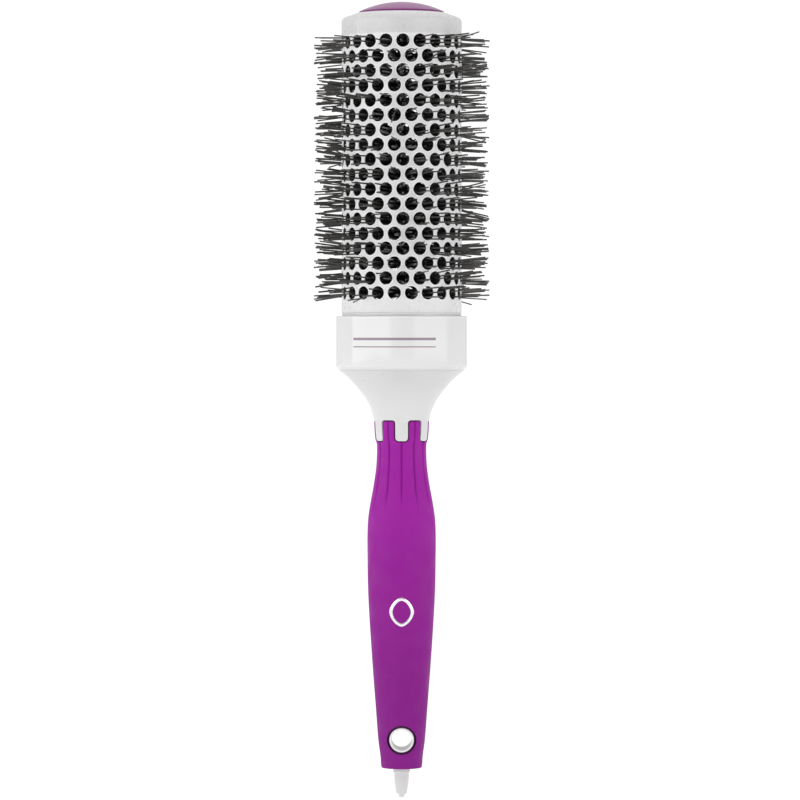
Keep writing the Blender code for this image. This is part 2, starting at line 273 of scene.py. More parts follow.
# Polished lozenge let into the grip's front. Its profile is (share of the line's width, rise).
INLAY_Z = 0.0675
INLAY_HALF_WIDTH = 0.0044
INLAY_HALF_HEIGHT = 0.0052
INLAY_LINE = 0.0011
INLAY_POWER = 0.82
INLAY_SIDES = 128
INLAY_PROFILE = (
    (0.0, -0.0004),
    (0.0, 0.00006),
    (0.15, 0.00012),
    (0.85, 0.00012),
    (1.0, 0.00006),
    (1.0, -0.0004),
)

# Material slots of the barrel and of the grip.
# The barrel's bore faces are painted near black, as painted shade, and its hole-edge faces lighter, as a
# painted highlight.
COATED, BORE, BARE, HOLE_EDGE = range(4)
# The grip's second slot is rubber painted nearly black, as painted shade.
RUBBER, RUBBER_PAINTED_SHADE = range(2)

# Colours, and the painted light and shade that some pass through up the brush, as (height, shade) steps.
CERAMIC_WHITE = (0.800, 0.800, 0.805)
PURPLE = (0.325, 0.0105, 0.325)
DOME_PURPLE = (0.25, 0.026, 0.205)
# Painted shade: the grip is painted darker towards its tail, for light that falls from above.
GRIP_PAINTED_SHADE = ((0.020, 0.68), (0.042, 0.70), (0.086, 0.86), (0.104, 0.99), (0.120, 1.0))
# Painted shade: the neck is painted darker up its flare, under the collar.
NECK_PAINTED_SHADE = ((0.139, 1.0), (0.150, 0.90))
# Painted shade on the collar's downward chamfer, and a painted highlight along its top edge.
COLLAR_PAINTED_LIGHT = ((0.1550, 0.79), (0.1554, 0.92), (0.1727, 0.92), (0.1730, 1.0))
# Painted light: the plain band below the lowest holes is painted a little darker than the perforated part.
BARREL_PAINTED_LIGHT = ((0.1775, 0.955), (0.1810, 1.0))
# Painted light on the cap: lighter up towards its shoulder, and a painted highlight along the rim round the
# dome. It is also a little lighter at its lowest edge.
CAP_PAINTED_LIGHT = ((0.2742, 0.77), (0.2750, 0.705), (0.2790, 0.715), (0.2817, 0.74), (0.2820, 1.0))
# Painted shade round the dome's lower edge, where it meets the cap.
DOME_PAINTED_SHADE = ((0.2828, 0.78), (0.2840, 1.0))

# Grain. Numbers of grains, flecks, streaks and lines go to a metre, and gloss is a range of shares.
NOISE_RANGE = (0.3, 0.7)
CLOUD_SWING = 0.015
SMEARS_PER_CLOUD = 3.1
SMEAR_GLOSS = (0.82, 1.22)
GRAINS_PER_WAVE = 12
WAVE_DEPTH = 2
WAVE_STRENGTH = 0.6
FLECKS_PER_METRE = 2600
FLECK_SHADE = (0.90, 0.90, 0.91)
NYLON_STREAKS = 2400
NYLON_STREAK_SHARE = 0.35
NYLON_GRAIN = 9000
NYLON_DEPTH = 0.000006
METAL_LINES = 3000
METAL_DEPTH = 0.000003
LINE_GLOSS = (0.8, 1.3)

# Camera.
CAMERA_PLACE = (-0.00058, -1.548, 0.16945)
CAMERA_TARGET = (-0.00058, 0.0, 0.14317)
CAMERA_LENS = 193.5

# Light, by direction. A soft box is (start and end in degrees from the camera round to +X, power),
# the boxes' level is a range of the upward part, and walls and ceiling are (start, end, and the
# power at each).
SOFT_BOXES = ((-97, -19, 1.90), (22, 87, 1.48))
BOX_LEVEL = (-0.10, 0.30)
BOX_LEVEL_EDGE = 0.05
BOX_SIDE_EDGE = 0.03
WALLS = (-0.9, 0.7, 0.48, 0.73)
CEILING = (0.25, 0.95, 1.0, 1.7)
BACKGROUND = 1.05
FLOOR_HALF = 4.0
FLOOR_GREY = 0.35
FLOOR_GLOW = 0.77


# Meshes


class Skin:
    """Collects the corners and faces of one mesh."""

    def __init__(self):
        self.corners = []
        self.faces = []
        self.slots = []

    def ring(self, corners):
        first = len(self.corners)
        self.corners.extend(corners)
        return list(range(first, len(self.corners)))

    def level_ring(self, radius, angles, height):
        return self.ring([polar(radius, angle, height) for angle in angles])

    def face(self, corners, slot=0):
        self.faces.append(tuple(corners))
        self.slots.append(slot)

    def band(self, lower, upper, slot=0, closed=True):
        """Faces between two rings of the same number of corners. They look out if upper is above."""
        count = len(lower)
        for index in range(count if closed else count - 1):
            after = (index + 1) % count
            self.face((lower[index], lower[after], upper[after], upper[index]), slot)

    def loop(self, rings, closed=True):
        """Faces from each ring to the next, and from the last one back to the first."""
        for lower, upper in zip(rings, rings[1:] + rings[:1]):
            self.band(lower, upper, closed=closed)

    def fan(self, rim, centre):
        """Closes a ring with triangles to one point. They look along +Z if the ring runs anticlockwise."""
        rim = list(rim)
        (hub,) = self.ring([centre])
        for corner, after in zip(rim, rim[1:] + rim[:1]):
            self.face((corner, after, hub))

    def tube(self, rings, end_slot=0):
        """A closed tube through rings that run anticlockwise, seen from its last end."""
        self.face(reversed(rings[0]))
        for start, end in zip(rings, rings[1:]):
            self.band(start, end)
        self.face(rings[-1], end_slot)

    def mesh(self, name, weld=0.0):
        mesh = bpy.data.meshes.new(name)
        mesh.from_pydata(self.corners, [], self.faces)
        mesh.polygons.foreach_set("material_index", self.slots)
        if weld:
            bm = bmesh.new()
            bm.from_mesh(mesh)
            bmesh.ops.remove_doubles(bm, verts=bm.verts, dist=weld)
            bm.to_mesh(mesh)
            bm.free()
        return mesh


def new_object(name, data):
    thing = bpy.data.objects.new(name, data)
    bpy.context.scene.collection.objects.link(thing)
    return thing


def add_piece(mesh, slot, materials, *nodes, sharp_angle=40):
    """Adds one piece that rides on the brush's one body and stands for these CAD nodes."""
    mesh.shade_smooth()
    mesh.set_sharp_from_angle(angle=math.radians(sharp_angle))
    for material in materials:
        mesh.materials.append(material)
    piece = new_object(mesh.name, mesh)
    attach(piece, "root")
    if nodes:
        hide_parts(*nodes)


def spaced(start, end, count):
    """Values in even steps from start, and short of end by one step."""
    return [start + (end - start) * step / count for step in range(count)]


def polar(radius, angle, height):
    return (radius * math.cos(angle), radius * math.sin(angle), height)


def smooth_step(low, high, value):
    share = min(1.0, max(0.0, (value - low) / (high - low)))
    return share * share * (3 - 2 * share)


def softened(points, steps):
    """Rounds an outline's corners. Each point is (radius, height, reach), and a curve that starts and
    ends that far from the corner takes its place. A reach of 0 keeps it sharp."""
    outline = []
    for index, (radius, height, reach) in enumerate(points):
        corner = Vector((radius, height))
        if not reach:
            outline.append(tuple(corner))
            continue
        before = Vector(points[index - 1][:2])
        after = Vector(points[(index + 1) % len(points)][:2])
        start = corner + (before - corner).normalized() * reach
        end = corner + (after - corner).normalized() * reach
        for step in range(steps + 1):
            share = step / steps
            point = start.lerp(corner, share).lerp(corner.lerp(end, share), share)
            outline.append(tuple(point))
    return outline


def turned(name, outline, count, closed=False):
    """A mesh turned round the axis from (radius, height) points that run up its outer side."""
    skin = Skin()
    angles = spaced(0, math.tau, count)
    rings = [skin.level_ring(radius, angles, height) if radius else None for radius, height in outline]
    if closed:
        skin.loop(rings)
        return skin.mesh(name)
    for start, end, lower, upper in zip(outline, outline[1:], rings, rings[1:]):
        if lower is None:
            skin.fan(reversed(upper), (0, 0, start[1]))
        elif upper is None:
            skin.fan(lower, (0, 0, end[1]))
        else:
            skin.band(lower, upper)
    return skin.mesh(name)


def curve_radius(outline, height):
    """Radius at a height, on a smooth curve through an outline whose points run upwards."""
    last = len(outline) - 2
    index = 0
    while index < last and outline[index + 1][1] < height:
        index += 1
    (r0, z0), (r1, z1) = outline[index:index + 2]
    before = outline[max(index - 1, 0)]
    after = outline[min(index + 2, last + 1)]
    span = z1 - z0
    slope0 = (r1 - before[0]) / (z1 - before[1]) * span
    slope1 = (after[0] - r0) / (after[1] - z0) * span
    t = min(1.0, max(0.0, (height - z0) / span))
    t2, t3 = t * t, t * t * t
    return (
        r0 * (2 * t3 - 3 * t2 + 1)
        + slope0 * (t3 - 2 * t2 + t)
        + r1 * (3 * t2 - 2 * t3)
        + slope1 * (t3 - t2)
    )


# Barrel


def row_height(row):
    return LOWEST_ROW + row * ROW_PITCH


def hole_angles(row):
    """Directions of one row's holes. Each row is turned half a pitch against the next."""
    staggered = (HOLE_ROWS - 1 - row) % 2
    first = TOP_ROW_ANGLE + staggered * HOLE_PITCH / 2
    return spaced(first, first + math.tau, HOLES_AROUND)


def cell_edge(ray):
    """Where a ray from a hole's centre meets the edge of its six-sided cell, as (across, up)."""
    angle = math.tau * ray / HOLE_RAYS
    pitch = BARREL_RADIUS * HOLE_PITCH
    off_normal = math.radians((math.degrees(angle) + 30) % 60 - 30)
    reach = pitch / 2 / math.cos(off_normal)
    stretch = ROW_PITCH / (pitch * math.sqrt(3) / 2)
    return reach * math.cos(angle), reach * math.sin(angle) * stretch


def cell_rings():
    """The rings of one hole's cell, from its edge in over the lip to the hole's inner end. Each is
    (points as (across, up), radius on the barrel, material slot of the faces that follow it)."""
    edge = [cell_edge(ray) for ray in range(HOLE_RAYS)]
    rings = [(edge, BARREL_RADIUS, COATED)]
    for wider, depth in HOLE_LIP:
        rings.append((hole_circle(HOLE_RADIUS + wider), BARREL_RADIUS - depth, HOLE_EDGE))
    hole = hole_circle(HOLE_RADIUS)
    rings += [(hole, BARREL_RADIUS - HOLE_LIP_DEPTH, BORE), (hole, BARREL_INSIDE, BORE)]
    return [*rings, (edge, BARREL_INSIDE, BORE)]


def hole_circle(radius):
    return [(radius * math.cos(angle), radius * math.sin(angle)) for angle in spaced(0, math.tau, HOLE_RAYS)]


def wrapped(points, radius, angle, height):
    """Lays (across, up) points on the barrel, round this angle and height. Its top cuts them off."""
    return [
        polar(radius, angle + across / BARREL_RADIUS, min(height + up, BARREL_TOP)) for across, up in points
    ]


def make_barrel(materials):
    """A tube put together from its holes' cells, with a plain bare end inside the collar."""
    skin = Skin()
    cell = cell_rings()
    for row in range(HOLE_ROWS):
        height = row_height(row)
        for angle in hole_angles(row):
            made = [skin.ring(wrapped(points, radius, angle, height)) for points, radius, _ in cell]
            for start, end, (_, _, slot) in zip(made, made[1:], cell):
                skin.band(start, end, slot)
    add_barrel_end(skin, HOLE_ROWS - 1, UPPER_EDGE_START, (
        (BARREL_RADIUS, BARREL_TOP, BORE),
        (BARREL_INSIDE, BARREL_TOP, BORE),
    ))
    bare = BARREL_RADIUS - COATING_DEPTH
    add_barrel_end(skin, 0, LOWER_EDGE_START, (
        (BARREL_RADIUS, PLAIN_END_TOP, COATED),
        (BARREL_RADIUS, COATING_EDGE + COATING_STEP, COATED),
        (bare, COATING_EDGE, BARE),
        (bare, COLLAR_TOP - BARE_IN_COLLAR, BARE),
        (bare, BARREL_BOTTOM, BORE),
        (BARREL_INSIDE, BARREL_BOTTOM, BORE),
        (BARREL_INSIDE, PLAIN_END_TOP, BORE),
    ))
    mesh = skin.mesh("barrel_shell", weld=BARREL_WELD)
    add_piece(mesh, "ceramic_barrel", materials, "barrel", sharp_angle=50)


def add_barrel_end(skin, row, first_ray, levels):
    """Joins the zigzag edge of an end row's cells to the barrel's plain end. The edge is a third of
    each cell's, from first_ray on, and levels are (radius, height, material slot) from the cells
    outwards and back up the inside."""
    edge = [cell_edge(ray) for ray in range(first_ray, first_ray + HOLE_RAYS // 3 + 1)]
    height = row_height(row)
    for angle in hole_angles(row):
        rings = [skin.ring(wrapped(edge, BARREL_RADIUS, angle, height))]
        slots = [COATED]
        for radius, level, slot in levels:
            points = [(across, level) for across, _ in edge]
            rings.append(skin.ring(wrapped(points, radius, angle, 0)))
            slots.append(slot)
        rings.append(skin.ring(wrapped(edge, BARREL_INSIDE, angle, height)))
        for start, end, slot in zip(rings, rings[1:], slots):
            skin.band(end, start, slot, closed=False)


# Bristles


def either_side(rng, limit):
    return rng.uniform(-limit, limit)


def random_in_circle(rng, radius):
    angle = rng.uniform(0, math.tau)
    reach = radius * math.sqrt(rng.random())
    return reach * math.cos(angle), reach * math.sin(angle)


def filament_offset(start, held, tip, radius):
    """Sideways place of a filament at one radius: straight outside the hole, and bent in to the
    stem. start, held and tip are its places at the stem, in the hole and at the tufts' reach."""
    slope = (tip - held) / (TUFT_REACH - TUFT_HOLD)
    back = TUFT_HOLD - radius
    if back <= 0:
        return held - slope * back
    whole = TUFT_HOLD - STEM_REACH
    bend = (start - held + slope * whole) / whole**2
    return held - slope * back + bend * back**2


def inner_stations(reach):
    """Radii from the stem out to this reach, where a filament bends."""
    return [STEM_REACH + (reach - STEM_REACH) * share for share in FILAMENT_STATIONS]


def add_filament(skin, shades, rng, angle, height):
    """One nylon filament from the stem out through the hole at this angle and height. Neighbouring
    tufts lean and sway the same way."""
    up = either_side(rng, TUFT_RADIUS)
    across = either_side(rng, 1) * math.sqrt(TUFT_RADIUS**2 - up**2)
    reach = LONGEST_TIP - abs(rng.gauss(0, TIP_SPREAD))
    if rng.random() < SHORT_SHARE:
        reach -= rng.uniform(*SHORT_BY)
    at_side = math.cos(angle) ** 2
    splay = SPLAY[0] + SPLAY[1] * at_side
    loose = LOOSENESS[0] + LOOSENESS[1] * at_side
    if rng.random() < WILD_SHARE:
        loose = WILD_LOOSENESS
    place = Vector(polar(BARREL_RADIUS, angle, height)) * LEAN_SCALE
    lean = noise.noise(place) * LEAN * at_side
    sway = noise.noise(place + SWAY_SHIFT) * SWAY * math.sin(2 * angle) ** 2
    start_across = either_side(rng, STEM_ACROSS)
    tip_across = across * splay + sway + rng.gauss(0, loose)
    tip_up = up * splay + lean + rng.gauss(0, loose)
    start_up = either_side(rng, STEM_UP)
    stations = inner_stations(TUFT_HOLD) + [(TUFT_HOLD + reach) / 2, reach]
    ends_across = (start_across, across, tip_across)
    add_strand(skin, shades, rng, angle, height, ends_across, (start_up, up, tip_up), stations)


def add_stray(skin, shades, rng, angle, height):
    """A filament that missed its hole and stops inside the barrel."""
    angle += rng.gauss(0, STRAY_TURN) * HOLE_PITCH
    across, up = random_in_circle(rng, STRAY_SPREAD)
    reach = rng.uniform(*STRAY_REACH)
    ends_across = (either_side(rng, STEM_ACROSS), across, across)
    ends_up = (either_side(rng, STEM_UP), up, up)
    add_strand(skin, shades, rng, angle, height, ends_across, ends_up, inner_stations(reach))


def add_strand(skin, shades, rng, angle, height, ends_across, ends_up, stations):
    """A thin closed tube through these radii. ends_across and ends_up place it sideways and upwards at
    the stem, in the hole and at the tufts' full reach."""
    out = Vector((math.cos(angle), math.sin(angle), 0))
    side = Vector((-math.sin(angle), math.cos(angle), 0))
    radius = FILAMENT_RADIUS * rng.uniform(*FILAMENT_THICKNESS)
    shade = rng.random()
    rings = []
    for along in stations:
        sideways = filament_offset(*ends_across, along)
        raised = filament_offset(*ends_up, along)
        centre = out * along + side * sideways + Vector((0, 0, height + raised))
        corners = []
        for turn in spaced(0, math.tau, FILAMENT_SIDES):
            lift = Vector((0, 0, radius * math.sin(turn)))
            corners.append(centre + side * radius * math.cos(turn) + lift)
        rings.append(skin.ring(corners))
        shades.extend([shade] * FILAMENT_SIDES)
    skin.tube(rings, end_slot=1)


def make_bristles(materials):
    """One piece for each row: a tuft of filaments through every hole."""
    rng = random.Random(SEED)
    for row in range(HOLE_ROWS):
        skin = Skin()
        shades = []
        height = row_height(row)
        for angle in hole_angles(row):
            for _ in range(rng.choice(FILAMENTS)):
                add_filament(skin, shades, rng, angle, height)
            for _ in range(STRAY_FILAMENTS):
                add_stray(skin, shades, rng, angle, height)
        mesh = skin.mesh(f"filaments_row_{row + 1:02d}")
        shade = mesh.attributes.new("shade", "FLOAT", "POINT")
        shade.data.foreach_set("value", shades)
        add_piece(mesh, "bristles", materials, f"bristle_row_{row + 1:02d}", sharp_angle=60)


# Stem


def make_stem(material):
    steps = round((STRAND_TOP - STRAND_BOTTOM) / TWIST_PITCH * STRAND_STEPS_PER_TWIST)
    for name, start in (("a", 0), ("b", math.pi)):
        skin = Skin()
        rings = []
        for step in range(steps + 1):
            turn = start + step * math.tau / STRAND_STEPS_PER_TWIST
            height = STRAND_BOTTOM + (STRAND_TOP - STRAND_BOTTOM) * step / steps
            rings.append(skin.ring(strand_ring(turn, height)))
        skin.tube(rings)
        add_piece(skin.mesh(f"twisted_strand_{name}"), "stem_wire", [material], f"stem_wire_{name}")


def strand_ring(turn, height):
    """Corners round one strand, square to the line that it follows."""
    out = Vector((math.cos(turn), math.sin(turn), 0))
    along = Vector((-math.sin(turn), math.cos(turn), 0)) * STRAND_RADIUS * math.tau
    along = (along + Vector((0, 0, TWIST_PITCH))).normalized()
    side = along.cross(out)
    centre = out * STRAND_RADIUS + Vector((0, 0, height))
    return [
        centre + (out * math.cos(angle) + side * math.sin(angle)) * STRAND_RADIUS
        for angle in spaced(0, math.tau, STRAND_SIDES)
    ]


# Cap, dome and collar


def make_end_cap(material):
    mesh = turned("end_cap_shell", softened(CAP_OUTLINE, steps=6), WIDE_SIDES, closed=True)
    add_piece(mesh, "white_cap", [material], "end_cap")


def make_dome(material):
    """A shallow part of a sphere, with a small bevel at its rim."""
    rise = DOME_TOP - DOME_RIM
    sphere = (DOME_RADIUS**2 + rise**2) / (2 * rise)
    half_angle = math.asin(DOME_RADIUS / sphere)
    outline = [(0, DOME_BOTTOM), (DOME_RADIUS, DOME_BOTTOM), (DOME_RADIUS, DOME_RIM - DOME_RIM_EDGE)]
    for step in range(DOME_STEPS, 0, -1):
        angle = half_angle * step / DOME_STEPS * DOME_SPAN
        outline.append((sphere * math.sin(angle), DOME_TOP - sphere * (1 - math.cos(angle))))
    mesh = turned("cap_dome", [*outline, (0, DOME_TOP)], DOME_SIDES)
    add_piece(mesh, "purple_insert", [material], "cap_insert")


def make_collar(material):
    mesh = turned("collar_band", softened(COLLAR_OUTLINE, steps=6), WIDE_SIDES, closed=True)
    add_piece(mesh, "white_collar", [material], "collar")


def make_stripes(material):
    """Two plain lines printed on the collar's front."""
    angles = [*spaced(*STRIPE_ANGLES, STRIPE_STEPS), STRIPE_ANGLES[1]]
    raised = COLLAR_RADIUS + STRIPE_HEIGHT
    for name, height, width in STRIPES:
        skin = Skin()
        bottom, top = height - width / 2, height + width / 2
        rows = []
        for radius, level in ((COLLAR_RADIUS, bottom), (raised, bottom), (raised, top), (COLLAR_RADIUS, top)):
            rows.append(skin.level_ring(radius, angles, level))
        skin.loop(rows, closed=False)
        skin.face([row[0] for row in rows])
        skin.face([row[-1] for row in reversed(rows)])
        add_piece(skin.mesh(name), "white_collar", [material])


# Handle


def core_radius(height):
    """Radius of the white core: a concave flare above, and a slight taper along the fingers."""
    return curve_radius(CORE_OUTLINE, height)


def grip_radius(angle, height):
    """Radius of the grip, which swells to the fingers' radius at its tabs and has shallow flutes."""
    radius = curve_radius(GRIP_OUTLINE, height)
    if height > SHOULDER_HEIGHTS[0]:
        swell = smooth_step(*SHOULDER_HEIGHTS, height)
        radius += (core_radius(height) - radius) * swell
    flute = (angle - FRONT) * FLUTES / math.tau
    off_flute = (flute - round(flute)) * math.tau / FLUTES * radius
    depth = FLUTE_DEPTH * math.exp(-((off_flute / FLUTE_WIDTH) ** 2))
    return radius - depth * smooth_step(*FLUTE_FADE, height)


def finger_angles():
    return spaced(FRONT, FRONT + math.tau, FINGERS)


def seam_half(offset):
    """Half a period of the seam between tab and finger, from mid-tab to mid-finger, as (across,
    height) points. offset moves the line into the grip."""
    flat_top, tab_bend, upright, finger_bend, flat_bottom = SEAM_STEPS
    side = FINGER_HALF_WIDTH + offset
    top = TAB_TOP - offset
    bottom = FINGER_BOTTOM - offset
    tab_corner = TAB_CORNER - offset
    finger_corner = FINGER_CORNER + offset
    points = [(across, top) for across in spaced(TAB_MIDDLE, side + tab_corner, flat_top)]
    for turn in spaced(0, math.pi / 2, tab_bend):
        across = side + tab_corner * (1 - math.sin(turn))
        points.append((across, top - tab_corner * (1 - math.cos(turn))))
    points += [(side, height) for height in spaced(top - tab_corner, bottom + finger_corner, upright)]
    for turn in spaced(0, math.pi / 2, finger_bend):
        across = side - finger_corner * (1 - math.cos(turn))
        points.append((across, bottom + finger_corner * (1 - math.sin(turn))))
    points += [(across, bottom) for across in spaced(side - finger_corner, 0, flat_bottom)]
    return points


def seam_line(offset):
    """The whole seam as (angle, height) points, the same number as a ring of the grip has."""
    half = [(seam_angle(across, height), height) for across, height in seam_half(offset)]
    points = []
    for centre in finger_angles():
        points += [(centre - angle, height) for angle, height in half]
        points.append((centre, FINGER_BOTTOM - offset))
        points += [(centre + angle, height) for angle, height in reversed(half[1:])]
    return points


def seam_angle(across, height):
    """Angle of a seam point from its finger's middle. The tabs' middles stay half a step away."""
    angle = math.asin(across / core_radius(height))
    middle = math.asin(TAB_MIDDLE / core_radius(height))
    share = max(0.0, across - FINGER_HALF_WIDTH) / (TAB_MIDDLE - FINGER_HALF_WIDTH)
    return angle + (HALF_STEP - middle) * share


def seam_rings(skin, radius_at, sign, fillet):
    """Rings over the seam's rounded edge and down its wall. sign is 1 for the grip's side of it."""
    middle = FILLET_MIDDLE * fillet
    rings = []
    for inset, depth in ((fillet, 0.0), (middle, middle), (0.0, fillet), (0.0, SEAM_DEPTH)):
        corners = []
        for angle, height in seam_line(sign * (SEAM_GAP + inset)):
            corners.append(polar(radius_at(angle, height) - depth, angle, height))
        rings.append(skin.ring(corners))
    return rings


def even_angles():
    """Angles of a full ring's corners, in step with seam_line."""
    return spaced(FRONT - HALF_STEP, FRONT - HALF_STEP + math.tau, AROUND)


def neck_fan_angles():
    """Angles of the level ring that the neck's seam fans out from, closer over its upright sides."""
    stops = [HALF_STEP * share for share in NECK_FAN_STOPS]
    half = []
    for count, start, end in zip(SEAM_STEPS, stops, stops[1:]):
        half += spaced(start, end, count)
    angles = []
    for centre in finger_angles():
        angles += [centre - angle for angle in half] + [centre]
        angles += [centre + angle for angle in reversed(half[1:])]
    return angles


def fanned_rings(skin, radius_at, start_angles, start_height, end_points, steps):
    """Rings that pass from a level ring to a seam line, over the surface."""
    rings = []
    for share in spaced(0, 1, steps)[1:]:
        corners = []
        for start_angle, (end_angle, end_height) in zip(start_angles, end_points):
            angle = start_angle + (end_angle - start_angle) * share
            height = start_height + (end_height - start_height) * share
            corners.append(polar(radius_at(angle, height), angle, height))
        rings.append(skin.ring(corners))
    return rings


def make_core(material):
    """The white neck, from its flange down to the ends of its fingers."""
    skin = Skin()

    def radius_at(_, height):
        return core_radius(height)

    fan_angles = neck_fan_angles()
    edge = seam_line(-(SEAM_GAP + CORE_FILLET))
    rings = list(reversed(seam_rings(skin, radius_at, -1, CORE_FILLET)))
    rings += reversed(fanned_rings(skin, radius_at, fan_angles, NECK_FAN_START, edge, CORE_FAN_STEPS))
    neck_height = FLANGE_TOP - FLANGE_EDGE_DOWN - NECK_FAN_START
    for step in range(NECK_STEPS + 1):
        height = NECK_FAN_START + neck_height * step / NECK_STEPS
        blend = min(1.0, step / NECK_EASED_STEPS)
        angles = [fan + (even - fan) * blend for fan, even in zip(fan_angles, even_angles())]
        rings.append(skin.level_ring(core_radius(height), angles, height))
    rings.append(skin.level_ring(FLANGE_RADIUS - FLANGE_EDGE_IN, even_angles(), FLANGE_TOP))
    inner = skin.level_ring(CORE_INSIDE, fan_angles, NECK_FAN_START)
    skin.fan(reversed(inner), (0, 0, NECK_FAN_START))
    for lower, upper in zip([inner] + rings, rings):
        skin.band(lower, upper)
    skin.fan(rings[-1], (0, 0, FLANGE_TOP))
    add_piece(skin.mesh("flared_neck"), "white_core", [material], "handle_core", sharp_angle=50)


def window_edge():
    """The window's edge as (column, row) steps from its middle, anticlockwise seen from outside."""
    columns, rows = WINDOW_COLUMNS, WINDOW_ROWS
    edge = [(column, -rows) for column in range(-columns, columns)]
    edge += [(columns, row) for row in range(-rows, rows)]
    edge += [(column, rows) for column in range(columns, -columns, -1)]
    edge += [(-columns, row) for row in range(rows, -rows, -1)]
    return edge


def grip_heights():
    """Heights of the grip's level rings, which cross the hanging hole in even steps."""
    low = HANG_HOLE_Z - WINDOW_ROWS * WINDOW_STEP
    high = HANG_HOLE_Z + WINDOW_ROWS * WINDOW_STEP
    across_hole = [low + WINDOW_STEP * step for step in range(2 * WINDOW_ROWS)]
    return [*GRIP_TAIL_HEIGHTS, *across_hole, *spaced(high, GRIP_FAN_START, GRIP_STEPS), GRIP_FAN_START]


def make_grip(materials):
    """The soft sleeve: fluted top with tabs, waisted body, and the hanging hole through its tail."""
    skin = Skin()
    rings = []
    for radius, height in (*GRIP_MOUTH, *softened(GRIP_RIM, steps=5)[1:-1]):
        rings.append(skin.level_ring(radius, even_angles(), height))
    skin.fan(reversed(rings[0]), (0, 0, GRIP_MOUTH[0][1]))
    first_row = len(rings) + len(GRIP_TAIL_HEIGHTS)
    for height in grip_heights():
        rings.append(skin.ring([polar(grip_radius(angle, height), angle, height) for angle in even_angles()]))
    add_grip_body(skin, rings, first_row)
    add_hang_hole(skin, rings[first_row:first_row + 2 * WINDOW_ROWS + 1])
    add_grip_top(skin, rings[-1])
    add_piece(skin.mesh("grip_skin"), "purple_grip", materials, "grip_sleeve", sharp_angle=60)


def add_grip_body(skin, rings, first_row):
    """Faces between the grip's rings. They leave the two windows open."""
    open_columns = set()
    for _, centre in WINDOWS:
        open_columns |= {(centre + step) % AROUND for step in range(-WINDOW_COLUMNS, WINDOW_COLUMNS)}
    for index, (lower, upper) in enumerate(zip(rings, rings[1:])):
        in_rows = first_row <= index < first_row + 2 * WINDOW_ROWS
        for column in range(AROUND):
            if in_rows and column in open_columns:
                continue
            after = (column + 1) % AROUND
            skin.face((lower[column], lower[after], upper[after], upper[column]))


def add_hang_hole(skin, window_rings):
    """The hanging hole's mouth in each window, and the bore between them."""
    mouths = []
    for side, centre in WINDOWS:
        rim = [window_rings[WINDOW_ROWS + row][(centre + column) % AROUND] for column, row in window_edge()]
        mouths.append(add_hole_mouth(skin, rim, side))
    front, back = mouths
    skin.band(front, facing_order(skin, front, back))


def add_grip_top(skin, last_level):
    """From the last level ring up to the seam, over its edge and down inside the joint."""
    edge = seam_line(SEAM_GAP + GRIP_FILLET)
    rings = fanned_rings(skin, grip_radius, even_angles(), GRIP_FAN_START, edge, GRIP_FAN_STEPS)
    rings += seam_rings(skin, grip_radius, 1, GRIP_FILLET)
    rings.append(skin.level_ring(GRIP_INSIDE, even_angles(), GRIP_FLOOR))
    # The last rings, down inside the joint, take the rubber painted dark, as painted shade.
    for index, (lower, upper) in enumerate(zip([last_level] + rings, rings)):
        skin.band(lower, upper, RUBBER_PAINTED_SHADE if index >= len(rings) - PAINTED_SHADE_SEAM_RINGS else RUBBER)
    skin.fan(rings[-1], (0, 0, GRIP_FLOOR))


def facing_order(skin, front, back):
    """The back mouth's corners in the order that pairs each with the front corner across from it."""

    def micrometres(corner):
        x, _, z = skin.corners[corner]
        return round(x * 1e6), round(z * 1e6)

    by_place = {micrometres(corner): corner for corner in back}
    return [by_place[micrometres(corner)] for corner in front]


def add_hole_mouth(skin, rim, side):
    """Fills one window round the hanging hole and rounds over into it. Returns the innermost ring."""
    places = [(skin.corners[corner][0], skin.corners[corner][2] - HANG_HOLE_Z) for corner in rim]
    outer = HANG_HOLE_RADIUS + HANG_HOLE_LIP[0][0]
    rings = [rim]
    for share in MOUTH_SHARES:
        rings.append(skin.ring([mouth_point(x, z, outer, share, side) for x, z in places]))
    # From this step of the lip on, its faces take the rubber painted dark, as painted shade.
    painted_shade_start = len(rings) + PAINTED_SHADE_LIP_START
    for wider, depth in HANG_HOLE_LIP:
        radius = HANG_HOLE_RADIUS + wider
        rings.append(skin.ring([mouth_point(x, z, radius, 1, side, depth) for x, z in places]))
    for index, (before, after) in enumerate(zip(rings, rings[1:])):
        skin.band(before, after, RUBBER_PAINTED_SHADE if index >= painted_shade_start else RUBBER)
    return rings[-1]


def mouth_point(x, z, radius, share, side, depth=0.0):
    """A point that share of the way from the window's edge to a circle round the hanging hole."""
    reach = math.hypot(x, z)
    x += (x * radius / reach - x) * share
    z += (z * radius / reach - z) * share
    surface = curve_radius(GRIP_OUTLINE, HANG_HOLE_Z + z) - depth
    return (x, -side * math.sqrt(surface**2 - x**2), HANG_HOLE_Z + z)


def make_liner(material):
    """The white lining of the hanging hole, with rounded lips that follow the grip's curve."""
    skin = Skin()
    rings = []
    for side, stations in ((1, LINER_LIP), (-1, LINER_LIP[::-1])):
        for radius, rise in stations:
            ring = []
            for angle in spaced(0, math.tau, LINER_SIDES):
                x, z = radius * math.cos(angle), radius * math.sin(angle)
                outer = (LINER_RADIUS + LINER_CLEARANCE) * math.cos(angle)
                surface = math.sqrt(curve_radius(GRIP_OUTLINE, HANG_HOLE_Z + z) ** 2 - outer**2)
                ring.append((x, -side * (surface + rise), HANG_HOLE_Z + z))
            rings.append(skin.ring(ring))
    skin.loop(rings)
    add_piece(skin.mesh("hang_hole_lining"), "white_liner", [material], "hang_hole_liner")


def make_tail(material):
    mesh = turned("tail_plug", softened(TAIL_OUTLINE, steps=5), TAIL_SIDES)
    add_piece(mesh, "grey_tip", [material], "tail_tip")


